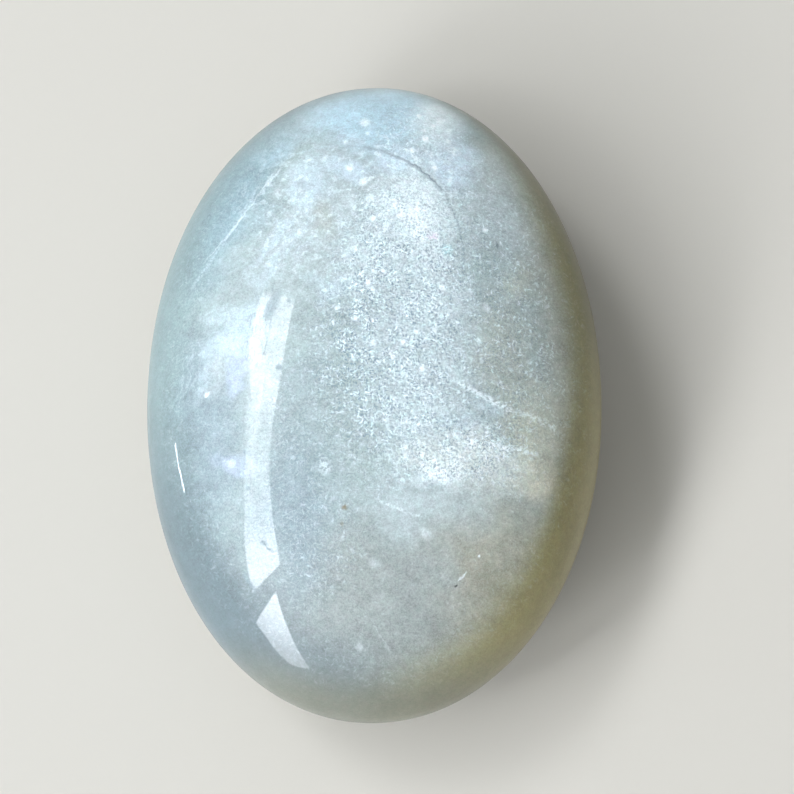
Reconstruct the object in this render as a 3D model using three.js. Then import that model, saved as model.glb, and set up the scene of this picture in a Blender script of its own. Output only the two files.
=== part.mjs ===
// A moonstone palm stone: one solid, polished, oval pebble of milky feldspar, sized to lie in the hand.
// It is domed above and below, its edge is a soft round girdle, and a small flat is worn on its underside.
// Units are millimetres and +Z is up. +Y runs along the length, and the origin lies under the middle of the
// stone, at the level of the flat it rests on.
import * as THREE from 'three';

// Overall size
const LENGTH = 66;
const WIDTH = 46;
const THICKNESS = 24;

// The girdle, the widest line around the stone, lies a little below half height
const GIRDLE_HEIGHT = 11.4;

// Depth that the resting flat takes off the lowest part of the underside
const FLAT_DEPTH = 0.4;

// Fullness of the curves: 2 is a true ellipse, and a larger number is a fuller, more cushioned curve
const PLAN_FULLNESS = 2.05;
const PROFILE_FULLNESS = 2.15;

// The stone was shaped by hand on a wheel, so it is a little uneven: one end is narrower, one end is
// thinner, and broad shallow waves run over the whole surface
const END_NARROWING = 0.01;
const END_THINNING = 0.03;
const WAVE_HEIGHT = 0.12;
const WAVES_ALONG = 2.3;
const WAVES_ACROSS = 2.9;

// Each of the 20 sides of the starting icosahedron is divided into this many strips
const STRIPS = 16;

const COLOUR = '#b4c8cb';
const ROUGHNESS = 0.12;
const METALNESS = 0;

// How far a curve of the given fullness lies from the centre, for two parts that are measured at right angles
function reach(first, second, fullness) {
  return (Math.abs(first) ** fullness + Math.abs(second) ** fullness) ** (1 / fullness);
}

// Height of the broad waves, for a direction from the middle of the stone
function wave(direction) {
  const along = Math.sin(WAVES_ALONG * direction.y + direction.x);
  const across = Math.sin(WAVES_ACROSS * direction.x - direction.z);
  return WAVE_HEIGHT * along * across;
}

// Moves one point of the unit sphere to its place on the stone, measured from the middle of the girdle
function pebblePoint(direction) {
  const outline = reach(direction.x, direction.y, PLAN_FULLNESS);
  const fullness = reach(outline, direction.z, PROFILE_FULLNESS);
  const crown = THICKNESS - GIRDLE_HEIGHT;
  const underside = GIRDLE_HEIGHT + FLAT_DEPTH;
  const depth = direction.z > 0 ? crown : underside;
  const point = new THREE.Vector3(
    (direction.x * WIDTH) / 2 * (1 - END_NARROWING * direction.y),
    (direction.y * LENGTH) / 2,
    direction.z * depth * (1 - END_THINNING * direction.y),
  );
  return point.divideScalar(fullness).addScaledVector(direction, wave(direction));
}

// The whole stone: an even net of triangles over a sphere, moved to the pebble's shape and worn flat below
function palmStone() {
  const geometry = new THREE.IcosahedronGeometry(1, STRIPS - 1);
  const positions = geometry.attributes.position;
  const direction = new THREE.Vector3();
  for (let index = 0; index < positions.count; index += 1) {
    direction.fromBufferAttribute(positions, index);
    const point = pebblePoint(direction);
    point.z = Math.max(point.z + GIRDLE_HEIGHT, 0);
    positions.setXYZ(index, point.x, point.y, point.z);
  }
  geometry.computeBoundingBox();
  const middle = geometry.boundingBox.getCenter(new THREE.Vector3());
  geometry.translate(-middle.x, -middle.y, 0);
  geometry.computeVertexNormals();
  return geometry;
}

const moonstone = new THREE.MeshStandardMaterial({
  color: COLOUR,
  roughness: ROUGHNESS,
  metalness: METALNESS,
});

const stone = new THREE.Mesh(palmStone(), moonstone);
stone.name = 'palm_stone';

const part = new THREE.Group();
part.add(stone);

export default part;
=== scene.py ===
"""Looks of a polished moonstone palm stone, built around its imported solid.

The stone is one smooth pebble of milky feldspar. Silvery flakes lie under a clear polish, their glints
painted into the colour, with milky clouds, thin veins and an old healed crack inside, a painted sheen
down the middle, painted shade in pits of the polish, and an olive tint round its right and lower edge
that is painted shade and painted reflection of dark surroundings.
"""

import logging
import math
from dataclasses import dataclass
from enum import Enum
from typing import Sequence, Tuple, Union

import bpy
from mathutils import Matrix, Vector

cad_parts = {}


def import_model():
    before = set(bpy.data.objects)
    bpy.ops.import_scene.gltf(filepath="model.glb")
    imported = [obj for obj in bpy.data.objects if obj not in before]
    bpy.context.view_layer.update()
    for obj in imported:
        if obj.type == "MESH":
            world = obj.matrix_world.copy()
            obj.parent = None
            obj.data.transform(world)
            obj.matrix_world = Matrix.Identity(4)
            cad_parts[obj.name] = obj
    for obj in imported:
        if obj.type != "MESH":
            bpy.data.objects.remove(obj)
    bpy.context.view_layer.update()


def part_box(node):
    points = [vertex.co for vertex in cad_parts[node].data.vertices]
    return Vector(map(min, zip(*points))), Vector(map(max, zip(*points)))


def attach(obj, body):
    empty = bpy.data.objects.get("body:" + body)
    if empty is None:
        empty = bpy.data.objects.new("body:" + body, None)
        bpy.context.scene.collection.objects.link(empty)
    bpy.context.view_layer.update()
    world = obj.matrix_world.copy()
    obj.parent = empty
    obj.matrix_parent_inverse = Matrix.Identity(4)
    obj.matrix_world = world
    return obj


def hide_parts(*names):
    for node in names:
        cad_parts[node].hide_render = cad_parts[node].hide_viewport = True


LOG = logging.getLogger("palm_stone")
MILLIMETRE = 0.001

Pair = Tuple[float, float]
Triple = Tuple[float, float, float]
Fade = Tuple[float, float, float, float]
Socket = bpy.types.NodeSocket
Value = Union[Socket, float]


def srgb(red: int, green: int, blue: int) -> Triple:
    """Turns a colour as seen on a screen into the linear light that a shader takes.

    Args:
        red, green, blue: The colour's channels, from 0 to 255.

    Returns:
        The colour's three linear values.
    """
    def linear(channel: int) -> float:
        """Gives one channel's linear value."""
        share = channel / 255
        return share / 12.92 if share <= 0.04045 else ((share + 0.055) / 1.055) ** 2.4

    return linear(red), linear(green), linear(blue)


def deselect_all() -> None:
    """Leaves nothing selected in object mode."""
    bpy.ops.object.select_all(action="DESELECT")


class Span(Enum):
    """The space that a noise or a pattern of cells fills."""

    SOLID = "3D"
    PLAN = "2D"


@dataclass
class Graph:
    """A node tree with short ways to add the nodes that the finishes use."""

    tree: bpy.types.NodeTree

    def node(self, kind: str, **settings: object) -> bpy.types.Node:
        """Adds a node.

        Args:
            kind: The node's type name, without its ShaderNode prefix.
            settings: Values for the node's own properties.

        Returns:
            The new node.
        """
        made = self.tree.nodes.new("ShaderNode" + kind)
        for name, value in settings.items():
            setattr(made, name, value)
        return made

    def feed(self, socket: Socket, value: object) -> None:
        """Links a socket to another, or sets its plain value.

        Args:
            socket: The input to fill.
            value: Another socket, a number or a tuple.
        """
        if isinstance(value, bpy.types.NodeSocket):
            self.tree.links.new(value, socket)
        else:
            socket.default_value = value

    def millimetres(self) -> Socket:
        """Returns the place on the stone in its own frame, in millimetres."""
        place = self.node("TexCoord").outputs["Object"]
        return self.vector("SCALE", place, scale=1 / MILLIMETRE)

    def math(self, operation: str, first: Value, second: Value = 0.0, third: Value = 0.0) -> Socket:
        """Adds a Math node.

        Args:
            operation: The node's operation.
            first, second, third: The operands, as many as the operation takes.

        Returns:
            The result.
        """
        made = self.node("Math", operation=operation)
        for socket, value in zip(made.inputs, (first, second, third)):
            self.feed(socket, value)
        return made.outputs[0]

    def vector(self, operation: str, first: object, second: object = (0.0, 0.0, 0.0),
               scale: Value = 1.0) -> Socket:
        """Adds a Vector Math node.

        Args:
            operation: The node's operation.
            first, second: The vectors, as many as the operation takes.
            scale: The factor of the SCALE operation.

        Returns:
            The vector result, or the number that LENGTH and DOT_PRODUCT give.
        """
        made = self.node("VectorMath", operation=operation)
        self.feed(made.inputs[0], first)
        if operation == "SCALE":
            self.feed(made.inputs["Scale"], scale)
        elif operation != "LENGTH":
            self.feed(made.inputs[1], second)
        numeric = operation in {"LENGTH", "DOT_PRODUCT"}
        return made.outputs["Value" if numeric else "Vector"]

    def parts(self, vector: Socket) -> Sequence[Socket]:
        """Splits a vector or a colour into its three numbers.

        Args:
            vector: The vector or colour.

        Returns:
            The three numbers.
        """
        made = self.node("SeparateColor" if vector.type == "RGBA" else "SeparateXYZ")
        self.feed(made.inputs[0], vector)
        return made.outputs

    def axes(self, place: Socket, centre: Pair, turn: float, size: Pair) -> Tuple[Socket, Socket]:
        """Measures a place from above, from a centre, along turned axes, in units of a size.

        Args:
            place: The place in millimetres.
            centre: The new origin across and along the stone, in millimetres.
            turn: Degrees that the axes are turned about +Z, anticlockwise from above.
            size: Millimetres that count as one unit along each turned axis.

        Returns:
            The distances along the first and the second axis.
        """
        angle = math.radians(turn)
        cosine, sine = math.cos(angle), math.sin(angle)
        shifted = self.vector("SUBTRACT", place, (*centre, 0.0))
        first = self.vector("DOT_PRODUCT", shifted, (cosine / size[0], sine / size[0], 0.0))
        second = self.vector("DOT_PRODUCT", shifted, (-sine / size[1], cosine / size[1], 0.0))
        return first, second

    def joined(self, first: Socket, second: Socket) -> Socket:
        """Makes a vector in the plan from its two numbers.

        Args:
            first, second: The numbers.

        Returns:
            The vector.
        """
        made = self.node("CombineXYZ")
        self.feed(made.inputs["X"], first)
        self.feed(made.inputs["Y"], second)
        return made.outputs[0]

    def distance(self, first: Socket, second: Socket) -> Socket:
        """Gives how far out a point lies, from its distances along two axes.

        Args:
            first, second: The distances along the axes.

        Returns:
            The distance from the centre.
        """
        square = self.math("MULTIPLY_ADD", first, first, self.math("MULTIPLY", second, second))
        return self.math("SQRT", square)

    def noise(self, place: Socket, size: float, detail: float = 0.0, span: Span = Span.PLAN) -> Socket:
        """Adds soft noise.

        Args:
            place: The place in millimetres.
            size: Width of one lump in millimetres.
            detail: Number of finer layers.
            span: The space that the noise fills.

        Returns:
            The noise, about 0.5 on average.
        """
        made = self.node("TexNoise", noise_dimensions=span.value)
        self.feed(made.inputs["Vector"], place)
        made.inputs["Scale"].default_value = 1 / size
        made.inputs["Detail"].default_value = detail
        made.inputs["Roughness"].default_value = NOISE_ROUGHNESS
        return made.outputs[0]

    def warp(self, place: Socket, size: float, reach: float, detail: float = 0.0) -> Socket:
        """Pushes a place about by noise, so that what follows gets a wavering edge.

        Args:
            place: The place in millimetres.
            size: Width of one wave in millimetres.
            reach: Largest push in millimetres, about.
            detail: Number of finer layers.

        Returns:
            The moved place.
        """
        elsewhere = self.vector("ADD", place, ELSEWHERE)
        push = self.joined(self.noise(place, size, detail), self.noise(elsewhere, size, detail))
        centred = self.vector("SUBTRACT", push, (NOISE_MIDDLE, NOISE_MIDDLE, 0.0))
        return self.vector("ADD", place, self.vector("SCALE", centred, scale=2 * reach))

    def fade(self, value: Value, none: float, full: float, most: float = 1.0, least: float = 0.0) -> Socket:
        """Maps a value to a smooth share.

        Args:
            value: The value to map.
            none, full: The values that give the least and the greatest share.
            most, least: The greatest and the least share.

        Returns:
            The share.
        """
        made = self.node("MapRange", interpolation_type="SMOOTHSTEP", clamp=False)
        self.feed(made.inputs["Value"], value)
        for name, number in zip(("From Min", "From Max", "To Min", "To Max"), (none, full, least, most)):
            made.inputs[name].default_value = number
        return made.outputs["Result"]

    def times(self, *values: Value) -> Socket:
        """Multiplies two or more values.

        Args:
            values: The values.

        Returns:
            Their product.
        """
        result = values[0]
        for value in values[1:]:
            result = self.math("MULTIPLY", result, value)
        return result

    def mix(self, share: Value, under: object, over: object) -> Socket:
        """Lays one colour over another.

        Args:
            share: How much of the upper colour shows.
            under: The lower colour.
            over: The upper colour.

        Returns:
            The mixed colour.
        """
        made = self.node("Mix", data_type="RGBA")
        self.feed(made.inputs["Factor"], share)
        for name, colour in (("A", under), ("B", over)):
            socket = [s for s in made.inputs if s.name == name and s.type == "RGBA"][0]
            self.feed(socket, colour if isinstance(colour, bpy.types.NodeSocket) else (*colour, 1.0))
        return [s for s in made.outputs if s.type == "RGBA"][0]


NOISE_MIDDLE = 0.5  # what a noise gives on average
NOISE_ROUGHNESS = 0.6  # how strongly the finer layers of a noise show
FLAT = 1.0e6  # so large a unit that height no longer counts
ELSEWHERE = (57.3, 31.9, 0.0)  # a step in millimetres to a part of a noise that looks unlike this one
OUTLINE = (23.0, 33.0)  # half the stone's width and length in millimetres

# Tones of the stone
# white of milk spots and pale veins, and the painted glints of threads and lumps
MILK_WHITE_AND_GLINT = srgb(246, 254, 255)
# the next three tones are painted sheen: light from the stone's inner layers, painted as colour
GLOW = srgb(235, 245, 245)
WARM_GLOW = srgb(225, 230, 225)
MILKY_SHEEN = srgb(220, 235, 245)
MILK = srgb(205, 220, 225)
SKY_MILK = srgb(190, 215, 225)
LAVENDER = srgb(190, 200, 220)
PALE = srgb(205, 215, 215)
PALE_WARM = srgb(205, 205, 185)
CREAM = srgb(230, 225, 205)
SOFT = srgb(190, 200, 200)
WARM = srgb(180, 185, 175)
# SAND is painted warm reflected light on the lower right
SAND = srgb(180, 175, 155)
PEBBLE = srgb(160, 165, 160)
OLIVE_GREY = srgb(150, 150, 130)
CLEAR_BLUE = srgb(145, 170, 180)
COOL = srgb(145, 160, 165)
DEEP = srgb(140, 150, 145)

# Tones of the rim: its own clear tint on the left; painted shade and painted reflection on the right and
# bottom
SLATE = srgb(100, 115, 120)
SEA_GREY = srgb(125, 145, 145)
DRY_SAND = srgb(175, 170, 150)
OLIVE = srgb(130, 125, 70)
DARK_OLIVE = srgb(100, 95, 60)
STRAW = srgb(165, 155, 105)
UMBER = srgb(125, 125, 110)

# Tones of the flakes' painted glints, of the gaps between flakes, and of the painted shade in pits and worn
# spots
GAP_SHADE = srgb(110, 135, 150)
PAINTED_PIT_SHADE = srgb(140, 155, 165)
TEAL_GLINT = srgb(236, 253, 252)
LILAC_GLINT = srgb(244, 250, 255)


@dataclass(frozen=True)
class Zone:
    """A soft-edged oval part of the stone, seen from above.

    Attributes:
        centre: Its middle across and along the stone, in millimetres.
        reach: Half its size along its own axes, in millimetres.
        strength: How much it counts in the middle.
        turn: Degrees that it is turned about +Z.
        core: Share of the reach where the fade starts.
    """

    centre: Pair
    reach: Pair
    strength: float = 1.0
    turn: float = 0.0
    core: float = 0.15

    def share(self, graph: Graph, place: Socket) -> Socket:
        """Gives how much the zone counts at a place.

        Args:
            graph: The material's graph.
            place: The place in millimetres.

        Returns:
            The share, from 0 to the zone's strength.
        """
        distance = graph.distance(*graph.axes(place, self.centre, self.turn, self.reach))
        return graph.fade(distance, 1.0, self.core, self.strength)


@dataclass(frozen=True)
class Cloud(Zone):
    """A zone of another colour.

    Attributes:
        colour: The cloud's colour.
        broken: Whether the cloud is broken into dashes and dots.
    """

    colour: Triple = MILK_WHITE_AND_GLINT
    broken: bool = False


@dataclass(frozen=True)
class Wisps(Cloud):
    """A cloud torn into drawn-out threads along its own first axis.

    Attributes:
        thread: Width of one thread, in millimetres.
        drawn: How much longer than wide a thread is.
        gap, whole: The noise values where the cloud is torn open and whole.
    """

    thread: float = 1.2
    drawn: float = 2.5
    gap: float = 0.42
    whole: float = 0.67

    def share(self, graph: Graph, place: Socket) -> Socket:
        """Gives how much of the cloud shows at a place.

        Args:
            graph: The material's graph.
            place: The place in millimetres.

        Returns:
            The share, from 0 to the cloud's strength.
        """
        drawn = graph.joined(*graph.axes(place, self.centre, self.turn, (self.drawn, 1.0)))
        threads = graph.fade(graph.noise(drawn, self.thread, detail=2.0), self.gap, self.whole)
        return graph.times(super().share(graph, place), threads)


@dataclass(frozen=True)
class Vein:
    """A thin bent line, strongest in its middle.

    Attributes:
        start, end: Ends of the line across and along the stone, in millimetres.
        half_width: Half its width, in millimetres.
        strength: How much of the colour shows in the middle.
        bend: How far the ends curve to the left of the way along it, in millimetres.
        fading: Share of the half length over which an end fades.
        colour: The line's colour.
        broken: Whether the line is broken into dashes and dots.
    """

    start: Pair
    end: Pair
    half_width: float
    strength: float = 1.0
    bend: float = 0.0
    fading: float = 0.5
    colour: Triple = MILK_WHITE_AND_GLINT
    broken: bool = False

    def share(self, graph: Graph, place: Socket) -> Socket:
        """Gives how much of the line shows at a place.

        Args:
            graph: The material's graph.
            place: The place in millimetres.

        Returns:
            The share, from 0 to the line's strength.
        """
        run, rise = self.end[0] - self.start[0], self.end[1] - self.start[1]
        half = math.hypot(run, rise) / 2
        centre = ((self.start[0] + self.end[0]) / 2, (self.start[1] + self.end[1]) / 2)
        turn = math.degrees(math.atan2(rise, run))
        along, aside = graph.axes(place, centre, turn, (half, half))
        square = graph.times(along, along)
        bent = graph.math("MULTIPLY_ADD", square, -self.bend / half, aside)
        return graph.times(
            graph.fade(graph.math("ABSOLUTE", bent), self.half_width / half, 0.0, self.strength),
            graph.fade(square, 1.0, (1 - self.fading) ** 2),
        )


@dataclass(frozen=True)
class HealedCrack:
    """A stretch of an old curved crack, seen from above as part of a ring.

    Attributes:
        centre: Middle of the ring across and along the stone, in millimetres.
        radius: The ring's radius along its first axis, in millimetres.
        half_width: Half the line's width, in millimetres.
        colour: The line's colour.
        strength: How much of the colour shows.
        first, last: Ends of the stretch, in degrees from the ring's first axis.
        fading: Degrees over which each end fades away.
        turn: Degrees that the ring is turned about +Z.
        squash: The ring's width as a share of its length.
        broken: Whether the line is broken into dashes and dots.
    """

    centre: Pair
    radius: float
    half_width: float
    colour: Triple
    strength: float
    first: float
    last: float
    fading: float = 12.0
    turn: float = 0.0
    squash: float = 1.0
    broken: bool = False

    def share(self, graph: Graph, place: Socket) -> Socket:
        """Gives how much of the line shows at a place.

        Args:
            graph: The material's graph.
            place: The place in millimetres.

        Returns:
            The share, from 0 to the line's strength.
        """
        size = (self.radius, self.radius * self.squash)
        along, aside = graph.axes(place, self.centre, self.turn, size)
        off = graph.math("SUBTRACT", graph.distance(along, aside), 1.0)
        degrees = graph.math("DEGREES", graph.math("ARCTAN2", aside, along))
        return graph.times(
            graph.fade(graph.math("ABSOLUTE", off), self.half_width / self.radius, 0.0, self.strength),
            graph.fade(degrees, self.first, self.first + self.fading),
            graph.fade(degrees, self.last, self.last - self.fading),
        )


Mark = Union[Cloud, Vein, HealedCrack]


@dataclass(frozen=True)
class RimTint:
    """A tint of the clear rim on one side of the stone; on the right and bottom painted shade and painted
    reflection.

    Attributes:
        towards: The side, as a direction across and along the outline.
        none, full: How far towards that side the tint starts and is full, where 1 is the outline.
        start, stop: How far out from the middle it starts and is full.
        colour: The tint.
        strength: How much of it shows.
    """

    towards: Pair
    none: float
    full: float
    start: float
    stop: float
    colour: Triple
    strength: float = 1.0

    def share(self, graph: Graph, outline: Socket, outward: Socket) -> Socket:
        """Gives how much of the tint shows at a place.

        Args:
            graph: The material's graph.
            outline: The place across and along the stone, in units of its outline.
            outward: How far out from the middle the place is.

        Returns:
            The share, from 0 to the tint's strength.
        """
        side = graph.vector("DOT_PRODUCT", outline, (*self.towards, 0.0))
        return graph.times(graph.fade(outward, self.start, self.stop, self.strength),
                           graph.fade(side, self.none, self.full))


@dataclass(frozen=True)
class Blotches:
    """Soft uneven blotches, made from noise.

    Attributes:
        size: Width of one blotch, in millimetres.
        detail: Number of finer layers.
        none, full: The noise values that give the least and the greatest share.
        most, least: The greatest and the least share.
        span: The space that the blotches fill.
    """

    size: float
    detail: float
    none: float
    full: float
    most: float = 1.0
    least: float = 0.0
    span: Span = Span.PLAN

    def share(self, graph: Graph, place: Socket) -> Socket:
        """Gives how much of the blotches shows at a place.

        Args:
            graph: The material's graph.
            place: The place in millimetres.

        Returns:
            The share, from the least to the greatest.
        """
        noise = graph.noise(place, self.size, self.detail, self.span)
        return graph.fade(noise, self.none, self.full, self.most, self.least)


@dataclass(frozen=True)
class Flakes:
    """Flakes of one size, each turned its own way, their silvery glints painted into the colour.

    Attributes:
        cell: Width of the cell that holds one flake, in millimetres.
        length, width: Half a flake's length and width, in millimetres.
        dull: Share of the flakes that stay dull.
        strength: How brightly the painted glints of the others show.
        core: Share of a flake's reach where its fade starts.
    """

    cell: float
    length: float
    width: float
    dull: float
    strength: float
    core: float = 0.5

    def lay(self, graph: Graph, place: Socket, mask: Socket, under: Socket) -> Socket:
        """Lays the flakes over a colour.

        Args:
            graph: The material's graph.
            Lays the flakes' painted glints over a colour.
            mask: Where the flakes lie.
            under: The colour below.

        Returns:
            The colour with the flakes' painted glints.
        """
        cells = graph.node("TexVoronoi", voronoi_dimensions=Span.PLAN.value)
        graph.feed(cells.inputs["Vector"], place)
        cells.inputs["Scale"].default_value = 1 / self.cell
        shine, angle, hue = graph.parts(cells.outputs["Color"])
        turned = graph.node("VectorRotate", rotation_type="Z_AXIS")
        graph.feed(turned.inputs["Vector"], graph.vector("SUBTRACT", place, cells.outputs["Position"]))
        graph.feed(turned.inputs["Angle"], graph.times(angle, math.tau))
        local = graph.vector("DIVIDE", turned.outputs[0], (self.length, self.width, FLAT))
        # painted glint: each flake's shine painted as colour
        share = graph.times(graph.fade(graph.vector("LENGTH", local), 1.0, self.core),
                            graph.fade(shine, self.dull, 1.0, self.strength), mask)
        return graph.mix(share, under, graph.mix(hue, TEAL_GLINT, LILAC_GLINT))


@dataclass(frozen=True)
class MoonstoneFinish:
    """Polished moonstone: milky feldspar with clouds and veins under a clear gloss, and painted glints, sheen
    and shade.

    A waver is the width of a wave, its push and its finer layers. A fade is how far out from the
    middle it starts and is full, where 1 is the outline, and its most and least.

    Attributes:
        body, shade: Main and second tone of the upper side.
        under_body, under_shade: Main and second tone of the underside.
        tone_width, under_tone_width: Width of the second tones' lumps, in millimetres.
        crown_from, crown_full: Heights where the upper tones start and are full, in millimetres.
        clouds, cloud_waver: Clouds of other tones, some painted sheen and painted reflected light, and what
            frays them.
        rims: Tints of the rim, on the right and at the bottom painted shade and painted reflection of dark
            surroundings.
        flakes, flake_waver: The flakes' painted glints, from fine to coarse, and what frays them.
        glitter_zones, glitter_waver: Where the painted glints of flakes lie thick, and what frays the zones.
        glitter_least, glitter_fade: How thick they lie elsewhere, and where they end.
        patches: How the flakes' painted glints thin out here and there.
        gaps, fine_fade: The dark gaps between flakes, and where they weaken.
        thread_spacing, thread_width, thread_strength: The painted glints of threads between flakes.
        lumpy_zones, lumps: Where flakes grow together, and the painted glints of the lumps they form.
        grains, grain_fade: Width and contrast of each layer of grain, and where it weakens.
        hues, hue_lumps: Two casts of colour, and how they alternate.
        marks, mark_waver: Veins, cracks, spots and blemishes, and what frays them.
        dashes: What breaks up a broken mark.
        gloss: How strongly the polish mirrors.
        worn, worn_waver: Pits and worn spots in the polish, and what frays them.
        worn_painted_shade: How much painted shade darkens the colour in pits and worn spots of the polish.
        scratched, scratches: Where fine scratches lie, and the scratches across.
        scratch_length: How much longer than wide a scratch is.
        roughness, polish_roughness: Roughness of the stone and of its polish.
        refraction: Refractive index of both.
        scatter: How far light spreads inside, in millimetres.
    """

    body: Triple = srgb(175, 190, 185)
    shade: Triple = srgb(165, 175, 175)
    under_body: Triple = srgb(160, 170, 170)
    under_shade: Triple = srgb(130, 140, 130)
    tone_width: float = 8.0
    under_tone_width: float = 9.0
    crown_from: float = 5.0
    crown_full: float = 9.5
    clouds: Tuple[Cloud, ...] = (
        # calm lower half; the warmth to the lower right is painted warm reflected light
        Cloud((0, -24), (20, 13), 0.9, 0, 0.35, PEBBLE),
        Cloud((11.5, -18), (9, 11), 0.7, 0, 0.2, SAND),
        Cloud((-8, -14), (7, 13), 0.8, 0, 0.15, COOL),
        # clear left side and shoulder, bluish top
        Cloud((-16.2, -5), (5.2, 15), 0.88, 4, 0.3, COOL),
        Cloud((-14.5, 18.5), (5.5, 15), 0.8, -22, 0.2, CLEAR_BLUE),
        Cloud((1, 28), (13, 7), 0.85, 0, 0.3, SKY_MILK),
        # calm right side
        Cloud((12.5, 1.5), (4.8, 8), 0.85, 0, 0.3, WARM),
        Cloud((16.5, -10.2), (4.4, 3.8), 0.7, 0, 0.15, CREAM),
        Cloud((12.6, 22), (4, 5.5), 0.6, 25, 0.15, WARM),
        Cloud((15.6, -6), (4.5, 7), 0.75, 0, 0.15, PALE_WARM),
        Cloud((12.5, 17), (5, 9), 0.7, 15, 0.15, PALE),
        # bright band down the middle: painted sheen of light from the stone's inner layers, over its milky
        # tone
        Cloud((4.5, 5), (7.5, 25), 0.9, 0, 0.3, PALE),
        Cloud((5, -13.5), (9, 5), 0.8, 0, 0.15, SOFT),
        Cloud((-1.5, 13), (5, 10), 0.75, 0, 0.15, PALE),
        Cloud((7.6, 21.5), (3.8, 5), 0.75, 0, 0.15, MILKY_SHEEN),
        Cloud((4, 16), (4.6, 8.5), 0.9, 20, 0.2, GLOW),
        Cloud((6.2, 27.2), (4.2, 4.4), 0.85, 0, 0.15, GLOW),
        Cloud((2, 22), (4.5, 3), 0.6, 0, 0.2, MILKY_SHEEN),
        Cloud((-2.6, 21), (3, 1.8), 0.6, -10, 0.2, MILKY_SHEEN),
        Cloud((8.3, -9.5), (8.2, 3.5), 0.88, -2, 0.35, WARM_GLOW),
        Cloud((5.9, -11.3), (3, 1.6), 0.8, 0, 0.2),
        Cloud((11.2, -4), (2.8, 1.1), 0.5, -25, 0.2, MILK),
        Cloud((8.8, -5.1), (3.2, 1.3), 0.55, -15, 0.2, MILK),
        Cloud((9, -6.2), (5.2, 1.8), 0.4, 0, 0.2, WARM_GLOW),
        Cloud((4.8, 11.8), (2.8, 2), 0.4, 0, 0.15, GLOW),
        Cloud((15, 9), (2.6, 3.4), 0.45, 0, 0.15, PALE_WARM),
        Cloud((-2.4, 24.2), (2.8, 1.8), 0.35, 0, 0.15, MILKY_SHEEN),
        # quieter patches low down
        Cloud((12, -21.2), (2.6, 2.2), 0.45, 0, 0.15, OLIVE_GREY),
        Cloud((6, -19.4), (3.2, 2.6), 0.35, 0, 0.15, SOFT),
        Cloud((-4.4, -21.6), (3.4, 2.2), 0.4, 0, 0.15, DEEP),
        Cloud((-6.2, -1.5), (2.8, 6), 0.3, 0, 0.15, COOL),
        # milk on the left
        Cloud((-6.6, 14.6), (6, 9.6), 0.8, -18, 0.2, SOFT),
        Cloud((-6, 19.8), (3.8, 5), 0.7, -25, 0.15, MILK),
        Cloud((-10, 24.2), (3.4, 2.6), 0.42, 35, 0.15, SKY_MILK),
        Wisps((-8.6, 14.6), (9, 4.2), 0.6, 62, 0.3, MILK, thread=1.6),
        Cloud((-5.2, 15.2), (2, 3.6), 0.6, 0, 0.15, WARM),
        Cloud((-13.2, 3.6), (5.6, 3.5), 0.85, 42, 0.35, MILK),
        Cloud((-15.2, 6.4), (2.6, 1.8), 0.5, 35, 0.15, MILK),
        Cloud((-15, -0.4), (1.9, 2.8), 0.75, -8, 0.2, SOFT),
        Cloud((-16.4, -1.3), (1.4, 2.2), 0.5, 0, 0.15, MILK),
        Cloud((-4.6, 8.2), (3.2, 1.6), 0.5, -10, 0.15, MILK),
        Cloud((-12.8, 0.6), (1.5, 3.8), 0.75, -14, 0.3, LAVENDER),
        Cloud((-13.4, -8.8), (3.2, 1.6), 0.52, 8, 0.2, LAVENDER),
        Wisps((-15.4, -15.6), (7, 2.4), 0.4, -60, 0.3, MILK, thread=0.8, drawn=4),
        Wisps((-18.4, -0.6), (5, 1.6), 0.5, 80, 0.3, MILK, thread=0.6, drawn=3),
    )
    cloud_waver: Triple = (6.0, 2.4, 2.0)
    rims: Tuple[RimTint, ...] = (
        # on the left: the clear rim's own tint
        RimTint((-0.8, 0.6), 0.5, 0.85, 0.88, 1, SLATE, 0.85),
        RimTint((-1, 0.1), 0.3, 0.9, 0.69, 0.91, SEA_GREY, 0.85),
        RimTint((-0.6, -0.8), 0.5, 0.92, 0.63, 0.9, SLATE, 0.9),
        # on the right and at the bottom: painted shade on the side turned from the light, and painted
        # reflection of dark surroundings
        RimTint((0.97, 0.12), 0.6, 0.78, 0.6, 0.82, DRY_SAND, 0.55),
        RimTint((1, -0.05), 0.5, 0.86, 0.785, 0.93, OLIVE, 0.95),
        RimTint((0.8, 0.6), 0.64, 0.92, 0.86, 1, DARK_OLIVE, 0.8),
        RimTint((0.75, -0.66), 0.5, 0.92, 0.775, 0.95, STRAW, 0.9),
        RimTint((0, -1), 0.72, 0.96, 0.82, 0.97, UMBER, 0.85),
    )
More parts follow.
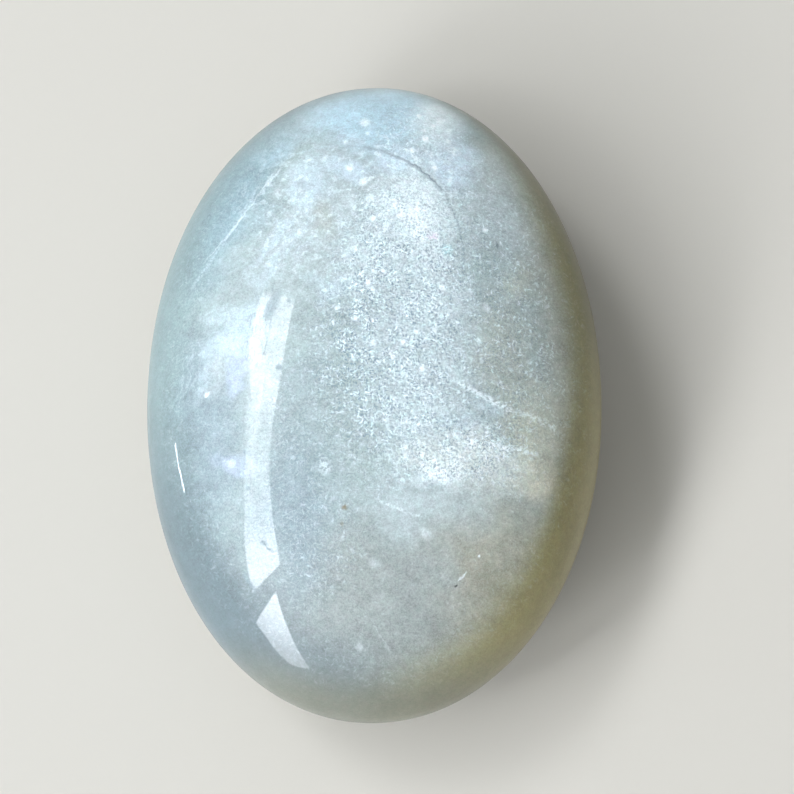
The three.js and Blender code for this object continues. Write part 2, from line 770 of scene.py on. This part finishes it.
    # painted glints of flakes: their shine is painted into the colour
    flakes: Tuple[Flakes, ...] = (
        Flakes(0.34, 0.24, 0.075, 0.4, 0.95),
        Flakes(0.55, 0.38, 0.11, 0.5, 1.0),
        Flakes(0.95, 0.42, 0.24, 0.84, 1.0),
    )
    flake_waver: Triple = (0.35, 0.1, 0.0)
    glitter_zones: Tuple[Zone, ...] = (
        Zone((2.4, 5), (10.5, 22), 1, -4, 0.35),
        Zone((8, -8), (10, 5), 0.9, 0, 0.4),
        Zone((5, 25), (6.5, 6.5), 0.6, 0, 0.35),
        Zone((11, 6), (9, 24), 0.54, 8, 0.5),
        Zone((-4, -4), (12, 22), 0.25, 0, 0.3),
        Zone((-7.5, 15.5), (7, 10), 0.25, -15, 0.3),
        Zone((-5.5, -17), (7, 9), 0.26, 0, 0.4),
    )
    glitter_waver: Triple = (4.0, 2.2, 2.0)
    glitter_least: float = 0.1
    glitter_fade: Fade = (0.98, 0.87, 1.0, 0.0)
    patches: Blotches = Blotches(1.6, 2.0, 0.3, 0.62, 1.0, 0.5)
    fine_fade: Fade = (0.84, 0.6, 1.0, 0.25)
    gaps: Blotches = Blotches(0.24, 1.0, 0.57, 0.36, 0.74)
    thread_spacing: float = 0.45
    thread_width: float = 0.055
    thread_strength: float = 0.6
    lumpy_zones: Tuple[Zone, ...] = (
        Zone((-5.5, 16.5), (10, 11), 0.3, 0, 0.5),
        Zone((3.5, 18), (7.5, 11), 0.46, 10, 0.5),
        Zone((6.5, -8), (11, 6), 0.36, 0, 0.4),
    )
    lumps: Blotches = Blotches(0.9, 2.0, 0.54, 0.68)
    grains: Tuple[Pair, ...] = ((0.13, 0.45), (0.26, 0.32), (0.6, 0.24), (1.3, 0.24), (3.5, 0.2))
    grain_fade: Fade = (0.97, 0.8, 1.0, 0.5)
    hues: Tuple[Triple, Triple] = ((0.978, 1.003, 0.99), (1.022, 0.997, 1.008))
    hue_lumps: Blotches = Blotches(0.8, 2.0, 0.3, 0.7, span=Span.SOLID)
    marks: Tuple[Mark, ...] = (
        # old crack round the upper left: a pale thread turning into a dark one
        Vein((-16.9, 11.2), (-9, 22), 0.14, 0.3, 0.45, 0.35),
        Vein((-14.9, 13.7), (-12.9, 16.6), 0.15, 0.4, 0.05),
        Vein((-11.2, 19), (-9, 21.9), 0.2, 0.45, 0.1),
        Vein((-18.4, 8.2), (-10.4, 20.9), 0.3, 0.4, 0.5, 0.35, MILK, broken=True),
        HealedCrack((-3.6, 11.4), 12.4, 0.22, MILK, 0.45, 84, 128, 14, broken=True),
        HealedCrack((-3.4, 11.4), 12.35, 0.3, srgb(146, 162, 169), 0.65, 30, 90, 16),
        HealedCrack((-3.3, 11.4), 12.4, 0.16, srgb(96, 113, 121), 0.6, 28, 64, 14),
        HealedCrack((-3, 11.4), 12.45, 0.14, MILK_WHITE_AND_GLINT, 0.4, 20, 52, broken=True),
        HealedCrack((-3.8, 11.4), 12.6, 0.22, srgb(132, 150, 157), 0.55, -16, 34, broken=True),
        # pale veins on the right
        Vein((7.4, -1.2), (13.4, -4.2), 0.5, 0.75, 0.1, 0.3, broken=True),
        Vein((12.4, -3.6), (18.6, -5.4), 0.5, 0.5, -0.5, broken=True),
        Vein((10.6, -7.5), (16.6, -8.1), 0.5, 0.8, broken=True),
        Vein((-0.6, -12.8), (5.4, -15.1), 0.3, 0.4, 0.3, broken=True),
        Vein((6.5, -11.9), (15.6, -12.2), 0.5, 0.4, 0.4, 0.5, srgb(214, 220, 218), broken=True),
        # small thick spots of milk
        Cloud((-0.9, 26.7), (0.85, 0.8), 0.7, 0, 0.2),
        Cloud((-2.5, 21.1), (0.55, 0.5), 0.85, 20, 0.2),
        Cloud((-1, 19.5), (0.6, 0.85), 0.7, -20, 0.2),
        Cloud((2.9, 18.7), (1.3, 1.1), 0.45, -20, 0.2, broken=True),
        Cloud((5.2, 24.7), (0.5, 0.6), 0.95, 20, 0.3),
        Cloud((6.6, 27.2), (0.7, 0.8), 0.6, 0, 0.2),
        Cloud((4.6, 27.6), (0.3, 0.45), 0.8, 0, 0.3),
        Cloud((5.9, 26.4), (0.3, 0.4), 0.8, -20, 0.3),
        Cloud((5, 25.8), (0.3, 0.36), 0.8, 0, 0.3),
        Cloud((7.5, 26), (0.42, 0.5), 0.7, 0, 0.2),
        Cloud((7.5, 24.6), (0.4, 0.4), 0.8, 40, 0.3),
        Cloud((8.1, 23.4), (0.8, 0.9), 0.7, 0, 0.2, broken=True),
        Cloud((3.8, 23.2), (0.36, 0.4), 0.8, 0, 0.3),
        Cloud((6, 21.2), (0.32, 0.36), 0.75, 0, 0.3),
        Cloud((-0.7, 25.3), (0.4, 0.4), 0.6, 0, 0.2),
        Cloud((-2.9, 24.2), (0.4, 0.42), 0.6, 0, 0.2),
        Cloud((4.8, 12.9), (0.55, 0.4), 0.9, 30, 0.3),
        Cloud((-4.6, -9.9), (0.9, 1.2), 0.5, 10, 0.1, broken=True),
        Cloud((0.2, -19), (0.9, 0.7), 0.3),
        Cloud((5, -16.1), (1, 0.6), 0.3, -20),
        Cloud((11, 6.2), (0.6, 0.8), 0.6, 0, 0.1),
        Cloud((-1.2, -26.6), (0.5, 0.7), 0.3),
        Cloud((-13.6, -9.2), (0.6, 0.6), 0.4),
        Cloud((-16.2, -2.1), (0.5, 0.3), 0.8, 30),
        Cloud((-0.1, 15.2), (0.5, 0.42), 0.8, 20, 0.3),
        Cloud((4, 16.5), (1, 1.4), 0.5, 10, 0.2, broken=True),
        Cloud((6.7, 8), (0.5, 0.4), 0.8, -20, 0.3),
        Cloud((-0.5, 8.4), (0.42, 0.5), 0.8, 0, 0.3),
        Cloud((11, 14.5), (0.36, 0.3), 0.8, 0, 0.3),
        Cloud((0, 2.2), (0.5, 0.36), 0.5, 30, 0.3),
        Cloud((4.6, -0.4), (0.46, 0.4), 0.75, 0, 0.3),
        Cloud((4.1, 3.4), (0.4, 0.34), 0.75, 40, 0.3),
        Cloud((5.9, 3.6), (0.4, 0.4), 0.75, 0, 0.3),
        Cloud((10.2, 2.7), (0.42, 0.34), 0.7, -30, 0.3),
        Cloud((-3.5, 5.8), (0.4, 0.32), 0.75, 10, 0.3),
        Cloud((-1.7, 4.7), (0.4, 0.36), 0.75, -10, 0.3),
        # glints of colour
        Cloud((5.8, 13.4), (0.8, 0.6), 0.55, 20, 0.1, srgb(250, 226, 242), broken=True),
        Cloud((7.2, 12), (0.9, 0.9), 0.3, 0, 0.1, srgb(186, 240, 240), broken=True),
        # small blemishes
        Cloud((-2.7, -13.8), (0.42, 0.3), 0.75, 0, 0.1, srgb(126, 104, 62)),
        Cloud((-2.9, -15.4), (0.3, 0.4), 0.4, 0, 0.1, srgb(142, 128, 92)),
        Cloud((7.9, -20.9), (0.22, 0.15), 0.9, 50, 0.3, srgb(58, 64, 64)),
        Vein((8, -20.6), (9, -19.5), 0.14, 0.6),
        Cloud((10.1, -18.1), (0.3, 0.16), 0.85, 55, 0.3),
        Cloud((12.2, 12.9), (0.17, 0.42), 0.75, 10, 0.2, srgb(112, 128, 130)),
        Cloud((12.5, 13.2), (0.18, 0.26), 0.85, 10, 0.3),
        Vein((-0.4, -24), (2, -27.6), 0.16, 0.22, 0.2, 0.6),
        HealedCrack((-17, 16.5), 0.9, 0.12, srgb(104, 124, 130), 0.6, -170, 120, 20, 58, 0.42),
    )
    mark_waver: Triple = (0.6, 0.22, 1.0)
    dashes: Blotches = Blotches(0.34, 1.0, 0.36, 0.54)
    gloss: float = 0.5
    worn: Tuple[Union[Zone, Vein], ...] = (
        Zone((-9.85, 6.3), (0.75, 2.4), 0.8, -22, 0.4),
        Zone((-9.1, 0), (0.42, 0.34), 1, -30, 0.7),
        Zone((-12, -11.6), (0.4, 0.2), 1, -50, 0.7),
        Zone((-10.4, -16.9), (0.42, 0.18), 1, -25, 0.7),
        Zone((-9.9, -17.5), (0.42, 0.18), 1, -20, 0.7),
        Zone((-10.2, -13.6), (0.24, 0.16), 1, 0, 0.7),
        Zone((-12.4, -8.1), (0.2, 0.34), 1, 0, 0.6),
        Zone((-8.2, 6.7), (0.26, 0.26), 0.9, 0, 0.6),
        Vein((-12.6, -19.4), (-11.2, -21.4), 0.3, 0.9, 0.1, 0.4),
    )
    worn_waver: Triple = (0.3, 0.07, 1.0)
    worn_painted_shade: float = 0.4
    scratched: Zone = Zone((-11.1, 4.4), (2.1, 6), 1, -12, 0.5)
    scratches: Blotches = Blotches(0.2, 1.0, 0.58, 0.64)
    scratch_length: float = 6.0
    roughness: float = 0.55
    polish_roughness: float = 0.03
    refraction: float = 1.53
    scatter: float = 2.0

    def ground(self, graph: Graph, place: Socket, outline: Socket, outward: Socket) -> Socket:
        """Lays the broad tones of the upper side, with painted sheen, painted reflection and painted shade
        among them.

        Args:
            graph: The material's graph.
            place: The place in millimetres.
            outline: The place across and along the stone, in units of its outline.
            outward: How far out from the middle the place is.

        Returns:
            The colour.
        """
        wavering = graph.warp(place, *self.cloud_waver)
        colour = graph.mix(graph.noise(wavering, self.tone_width, detail=1.0), self.body, self.shade)
        for cloud in self.clouds:
            colour = graph.mix(cloud.share(graph, wavering), colour, cloud.colour)
        # rim tints, on the right and at the bottom painted shade and painted reflection
        for rim in self.rims:
            colour = graph.mix(rim.share(graph, outline, outward), colour, rim.colour)
        return colour

    def glitter_mask(self, graph: Graph, place: Socket, outward: Socket) -> Socket:
        """Gives where the flakes' painted glints lie: thick under the crown's middle and thinner around.

        Args:
            graph: The material's graph.
            place: The place in millimetres.
            outward: How far out from the middle the place is.

        Returns:
            The share, from 0 to 1.
        """
        wavering = graph.warp(place, *self.glitter_waver)
        mask: Value = self.glitter_least
        for zone in self.glitter_zones:
            mask = graph.math("MAXIMUM", mask, zone.share(graph, wavering))
        return graph.times(mask, self.patches.share(graph, place), graph.fade(outward, *self.glitter_fade))

    def sparkle(self, graph: Graph, place: Socket, outward: Socket, under: Socket) -> Socket:
        """Lays the painted glints of flakes, threads and lumps, and the darker gaps between them.

        Args:
            graph: The material's graph.
            place: The place in millimetres.
            outward: How far out from the middle the place is.
            under: The colour below.

        Returns:
            The colour with the painted glints.
        """
        mask = self.glitter_mask(graph, place, outward)
        fine = graph.times(mask, graph.fade(outward, *self.fine_fade))
        ragged = graph.warp(place, *self.flake_waver)
        colour = graph.mix(graph.times(self.gaps.share(graph, ragged), fine), under, GAP_SHADE)
        ridge = graph.math("SUBTRACT", graph.noise(ragged, self.thread_spacing), NOISE_MIDDLE)
        threads = graph.fade(graph.math("ABSOLUTE", ridge), self.thread_width, 0.0, self.thread_strength)
        # painted glints along thin threads
        colour = graph.mix(graph.times(threads, fine), colour, MILK_WHITE_AND_GLINT)
        lumpy: Value = 0.0
        for zone in self.lumpy_zones:
            lumpy = graph.math("MAXIMUM", lumpy, zone.share(graph, place))
        # painted glints of lumps of flakes
        colour = graph.mix(graph.times(self.lumps.share(graph, ragged), lumpy), colour, MILK_WHITE_AND_GLINT)
        for flakes in self.flakes:
            colour = flakes.lay(graph, ragged, mask, colour)
        return colour

    def crown(self, graph: Graph, place: Socket, outline: Socket, outward: Socket) -> Socket:
        """Builds the pattern of the upper side.

        Args:
            graph: The material's graph.
            place: The place in millimetres.
            outline: The place across and along the stone, in units of its outline.
            outward: How far out from the middle the place is.

        Returns:
            The colour.
        """
        colour = self.ground(graph, place, outline, outward)
        colour = self.sparkle(graph, place, outward, colour)
        frayed = graph.warp(place, *self.mark_waver)
        dashes = self.dashes.share(graph, place)
        for mark in self.marks:
            share = mark.share(graph, frayed)
            colour = graph.mix(graph.times(share, dashes) if mark.broken else share, colour, mark.colour)
        return colour

    def grain(self, graph: Graph, place: Socket, outward: Socket) -> Socket:
        """Gives the fine, uneven grain that runs through the whole stone, weaker in the clear rim.

        Args:
            graph: The material's graph.
            place: The place in millimetres.
            outward: How far out from the middle the place is.

        Returns:
            A factor for each colour channel, 1 on average.
        """
        tone: Value = 0.0
        for size, amount in self.grains:
            noise = graph.noise(place, size, span=Span.SOLID)
            tone = graph.math("MULTIPLY_ADD", graph.math("SUBTRACT", noise, NOISE_MIDDLE), amount, tone)
        tone = graph.math("MULTIPLY_ADD", tone, graph.fade(outward, *self.grain_fade), 1.0)
        hue = graph.mix(self.hue_lumps.share(graph, place), *self.hues)
        return graph.vector("SCALE", hue, scale=tone)

    def pattern(self, graph: Graph, place: Socket, worn: Socket) -> Socket:
        """Builds the pattern of the whole stone: the crown's above, and a plainer one below.

        Args:
            graph: The material's graph.
            place: The place in millimetres.
            worn: How far the polish is worn away.

        Returns:
            The colour.
        """
        lumps = graph.noise(place, self.under_tone_width, detail=2.0, span=Span.SOLID)
        below = graph.mix(lumps, self.under_body, self.under_shade)
        outline = graph.vector("DIVIDE", place, (*OUTLINE, FLAT))
        outward = graph.vector("LENGTH", outline)
        above = self.crown(graph, place, outline, outward)
        # painted shade in the pits and worn spots of the polish
        above = graph.mix(graph.times(worn, self.worn_painted_shade), above, PAINTED_PIT_SHADE)
        height = graph.parts(place)[2]
        colour = graph.mix(graph.fade(height, self.crown_from, self.crown_full), below, above)
        return graph.vector("MULTIPLY", colour, self.grain(graph, place, outward))

    def wear(self, graph: Graph, place: Socket) -> Socket:
        """Gives how far small scratches and pits have worn the clear polish away.

        Args:
            graph: The material's graph.
            place: The place in millimetres.

        Returns:
            The share, from 0 to 1.
        """
        scratched = self.scratched
        drawn = graph.joined(*graph.axes(place, scratched.centre, scratched.turn, (1.0, self.scratch_length)))
        worn = graph.times(self.scratches.share(graph, drawn), scratched.share(graph, place))
        frayed = graph.warp(place, *self.worn_waver)
        for mark in self.worn:
            worn = graph.math("MAXIMUM", worn, mark.share(graph, frayed))
        return worn

    def material(self) -> bpy.types.Material:
        """Builds the material.

        Returns:
            The material.
        """
        material = bpy.data.materials.new("polished_moonstone")
        material.use_nodes = True
        graph = Graph(material.node_tree)
        shader = material.node_tree.nodes["Principled BSDF"]
        place = graph.millimetres()
        worn = self.wear(graph, place)
        graph.feed(shader.inputs["Base Color"], self.pattern(graph, place, worn))
        graph.feed(shader.inputs["Coat Weight"], graph.math("MULTIPLY_ADD", worn, -self.gloss, self.gloss))
        plain = {
            "Roughness": self.roughness, "IOR": self.refraction,
            "Subsurface Weight": 1.0, "Subsurface Radius": (1.0, 1.0, 1.0),
            "Subsurface Scale": self.scatter * MILLIMETRE,
            "Coat Roughness": self.polish_roughness, "Coat IOR": self.refraction,
        }
        for name, value in plain.items():
            shader.inputs[name].default_value = value
        return material


@dataclass
class PalmStone:
    """The stone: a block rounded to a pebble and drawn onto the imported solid's surface."""

    node: str = "palm_stone"
    body: str = "root"
    slot: str = "moonstone"
    name: str = "polished_palm_stone"
    first_cuts: int = 14
    second_cuts: int = 7
    form_levels: int = 2
    smooth_steps: int = 12
    smooth_factor: float = 0.5
    merge_distance: float = 0.001 * MILLIMETRE
    finish: MoonstoneFinish = MoonstoneFinish()

    def solid_copy(self) -> bpy.types.Object:
        """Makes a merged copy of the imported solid, to shape the pebble by.

        Returns:
            The copy.
        """
        source = bpy.data.objects[self.node]
        copy = bpy.data.objects.new("stone_form", source.data.copy())
        bpy.context.scene.collection.objects.link(copy)
        deselect_all()
        copy.select_set(True)
        bpy.context.view_layer.objects.active = copy
        bpy.ops.object.mode_set(mode="EDIT")
        bpy.ops.mesh.select_all(action="SELECT")
        bpy.ops.mesh.remove_doubles(threshold=self.merge_distance)
        bpy.ops.object.mode_set(mode="OBJECT")
        rounded = copy.modifiers.new("rounded", "SUBSURF")
        rounded.levels = rounded.render_levels = self.form_levels
        bpy.ops.object.modifier_apply(modifier=rounded.name)
        return copy

    def build(self) -> bpy.types.Object:
        """Rounds a block to the pebble's form.

        Returns:
            The finished pebble.
        """
        low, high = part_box(self.node)
        form = self.solid_copy()
        deselect_all()
        bpy.ops.mesh.primitive_cube_add(size=high.z - low.z, location=(0, 0, 0))
        stone = bpy.context.active_object
        stone.name = stone.data.name = self.name
        bpy.ops.object.mode_set(mode="EDIT")
        bpy.ops.mesh.subdivide(number_cuts=self.first_cuts)
        bpy.ops.mesh.subdivide(number_cuts=self.second_cuts)
        bpy.ops.transform.tosphere(value=1.0)
        bpy.ops.object.mode_set(mode="OBJECT")
        stone.dimensions = high - low
        stone.location = (low + high) / 2
        bpy.ops.object.transform_apply(location=True, rotation=True, scale=True)
        wrap = stone.modifiers.new("drawn_on", "SHRINKWRAP")
        wrap.target = form
        wrap.wrap_method = "NEAREST_SURFACEPOINT"
        bpy.ops.object.modifier_apply(modifier=wrap.name)
        smooth = stone.modifiers.new("polished", "SMOOTH")
        smooth.factor = self.smooth_factor
        smooth.iterations = self.smooth_steps
        bpy.ops.object.modifier_apply(modifier=smooth.name)
        bpy.ops.object.shade_smooth()
        bpy.data.objects.remove(form)
        stone.data.materials.clear()
        stone.data.materials.append(self.finish.material())
        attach(stone, self.body)
        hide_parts(self.node)
        return stone


@dataclass(frozen=True)
class Edge:
    """A straight edge across a light, past which it is dimmer.

    Attributes:
        towards: Direction of the dim side, in degrees from the light's first side.
        reach: Distance of the edge from the light's middle, in metres.
        soft: Width of the fade before the edge, in metres.
        least: Share of the light that is left past the edge.
    """

    towards: float
    reach: float
    soft: float = 0.006
    least: float = 0.0


@dataclass(frozen=True)
class SoftLight:
    """A flat studio light that shines like a bright window.

    Attributes:
        name: The light's name.
        centre: Its place in metres.
        across: Direction of its first side.
        along: Direction of its second side.
        size: Length of the two sides in metres.
        radiance: How bright it looks, in watts per square metre and steradian.
        edges: The edges that trim and shade it.
        colour: Its colour.
    """

    name: str
    centre: Triple
    across: Triple
    along: Triple
    size: Pair
    radiance: float
    edges: Tuple[Edge, ...] = ()
    colour: Triple = (0.86, 0.92, 1.0)

    def shade(self, data: bpy.types.AreaLight) -> None:
        """Trims and shades the light along its edges.

        Args:
            data: The light's data.
        """
        data.use_nodes = True
        graph = Graph(data.node_tree)
        spot = graph.vector("SUBTRACT", graph.node("NewGeometry").outputs["Parametric"], (0.5, 0.5, 0.0))
        spot = graph.vector("MULTIPLY", spot, (*self.size, 0.0))
        strength: Value = 1.0
        for edge in self.edges:
            angle = math.radians(edge.towards)
            distance = graph.vector("DOT_PRODUCT", spot, (math.cos(angle), math.sin(angle), 0.0))
            share = graph.fade(distance, edge.reach, edge.reach - edge.soft, 1.0, edge.least)
            strength = graph.times(strength, share)
        graph.feed(data.node_tree.nodes["Emission"].inputs["Strength"], strength)

    def build(self) -> None:
        """Adds the light, turned towards the stone."""
        data = bpy.data.lights.new(self.name, "AREA")
        data.shape = "RECTANGLE"
        data.size, data.size_y = self.size
        data.energy = self.radiance * math.pi * self.size[0] * self.size[1]
        data.color = self.colour
        if self.edges:
            self.shade(data)
        light = bpy.data.objects.new(self.name, data)
        bpy.context.scene.collection.objects.link(light)
        x_axis = Vector(self.across).normalized()
        z_axis = x_axis.cross(Vector(self.along)).normalized()
        y_axis = z_axis.cross(x_axis)
        matrix = light.matrix_world.to_3x3()
        matrix.col[0], matrix.col[1], matrix.col[2] = x_axis, y_axis, z_axis
        light.matrix_world = matrix.to_4x4()
        light.location = self.centre


@dataclass
class Studio:
    """A plain pale floor, soft light and the camera."""

    elevation: float = 76.0  # degrees above the floor
    distance: float = 230 * MILLIMETRE
    target: Triple = (2.29 * MILLIMETRE, -0.19 * MILLIMETRE, 12 * MILLIMETRE)
    pixels_per_millimetre: float = 9.876
    frame_pixels: float = 794.0
    sensor_width: float = 36.0  # millimetres, as Blender counts it
    near: float = 10 * MILLIMETRE
    floor_size: float = 6.0
    floor_colour: Triple = srgb(200, 193, 182)
    floor_roughness: float = 0.8
    bright_side: Triple = (-0.55, 0.15, 0.82)
    bright_sky: Triple = srgb(225, 235, 242)
    dim_sky: Triple = srgb(120, 112, 100)
    sky_spread: Pair = (-0.6, 1.0)  # cosines from the bright side, where the sky is dimmest and brightest
    sky_strength: float = 0.72
    panes: Tuple[SoftLight, ...] = (
        SoftLight("far_pane", (-0.766, 0.406, 1.224), (0.797, -0.207, 0.568), (0.316, 0.944, -0.099),
                  (0.413, 0.701), 15.0,
                  (Edge(0.0, 0.177), Edge(-11.8, 0.166), Edge(169.1, 0.194), Edge(-148.4, 0.16, 0.05),
                   Edge(-90.0, 0.21, 0.3), Edge(98.5, 0.318, 0.02))),
        SoftLight("bright_core", (-0.844, 0.224, 1.22), (0.798, -0.168, 0.579), (0.226, 0.974, -0.03),
                  (0.13, 0.31), 8.0,
                  (Edge(-13.7, 0.034, 0.03), Edge(166.3, 0.032, 0.03), Edge(-90.0, 0.155, 0.28, 0.6))),
        SoftLight("tall_pane", (-0.963, -0.207, 1.133), (-0.716, 0.477, -0.51), (-0.312, -0.872, -0.378),
                  (0.57, 1.42), 21.2,
                  (Edge(143.2, 0.345), Edge(3.4, 0.118), Edge(-159.5, 0.212), Edge(-56.8, 0.281),
                   Edge(-52.0, 0.03, 0.36, 0.45))),
        SoftLight("upper_tall_pane", (-0.967, -0.208, 1.138), (-0.716, 0.477, -0.51),
                  (-0.312, -0.872, -0.378), (0.57, 1.42), 8.5,
                  (Edge(17.1, 0.105, 0.1), Edge(-173.4, 0.14), Edge(123.2, -0.277))),
        SoftLight("low_pane", (-0.931, -0.972, 0.667), (0.789, -0.465, 0.401), (-0.086, 0.563, 0.822),
                  (0.62, 1.06), 27.0,
                  (Edge(15.5, 0.18), Edge(-72.2, 0.485), Edge(-144.5, 0.276), Edge(150.8, 0.196),
                   Edge(-90.0, 0.45, 0.9, 0.35))),
        SoftLight("narrow_gap", (-0.32, -0.001, 0.029), (0.0, -0.94, 0.34), (0.0, 0.34, 0.94),
                  (0.052, 0.008), 40.0),
    )

    def camera(self) -> None:
        """Adds the camera and makes it the scene's own."""
        lift = math.radians(self.elevation)
        data = bpy.data.cameras.new("camera")
        data.sensor_width = self.sensor_width
        view_width = self.frame_pixels / self.pixels_per_millimetre * MILLIMETRE
        data.lens = data.sensor_width * self.distance / view_width
        data.clip_start = self.near
        camera = bpy.data.objects.new("camera", data)
        bpy.context.scene.collection.objects.link(camera)
        back = Vector((0, -math.cos(lift), math.sin(lift)))
        camera.location = Vector(self.target) + back * self.distance
        camera.rotation_euler = (math.pi / 2 - lift, 0, 0)
        bpy.context.scene.camera = camera

    def floor(self) -> None:
        """Adds the plain pale floor."""
        deselect_all()
        bpy.ops.mesh.primitive_plane_add(size=self.floor_size, location=(0, 0, 0))
        floor = bpy.context.active_object
        floor.name = floor.data.name = "floor"
        material = bpy.data.materials.new("pale_floor")
        material.use_nodes = True
        shader = material.node_tree.nodes["Principled BSDF"]
        shader.inputs["Base Color"].default_value = (*self.floor_colour, 1.0)
        shader.inputs["Roughness"].default_value = self.floor_roughness
        floor.data.materials.append(material)

    def world(self) -> None:
        """Sets the soft light from all round, brighter on one side."""
        world = bpy.data.worlds.new("studio")
        world.use_nodes = True
        graph = Graph(world.node_tree)
        background = world.node_tree.nodes["Background"]
        direction = graph.node("TexCoord").outputs["Generated"]
        towards = graph.vector("DOT_PRODUCT", direction, tuple(Vector(self.bright_side).normalized()))
        sky = graph.mix(graph.fade(towards, *self.sky_spread), self.dim_sky, self.bright_sky)
        graph.feed(background.inputs["Color"], sky)
        background.inputs["Strength"].default_value = self.sky_strength
        bpy.context.scene.world = world

    def build(self) -> None:
        """Sets up floor, lights, camera and the way light becomes picture."""
        self.floor()
        self.world()
        for pane in self.panes:
            pane.build()
        self.camera()
        bpy.context.scene.view_settings.view_transform = "Standard"


def main() -> None:
    """Builds the stone and its studio."""
    logging.basicConfig(level=logging.INFO, format="%(name)s: %(message)s")
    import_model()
    stone = PalmStone().build()
    LOG.info("built %s with %d faces", stone.name, len(stone.data.polygons))
    Studio().build()
    LOG.info("set up the studio")


if __name__ == "__main__":
    main()
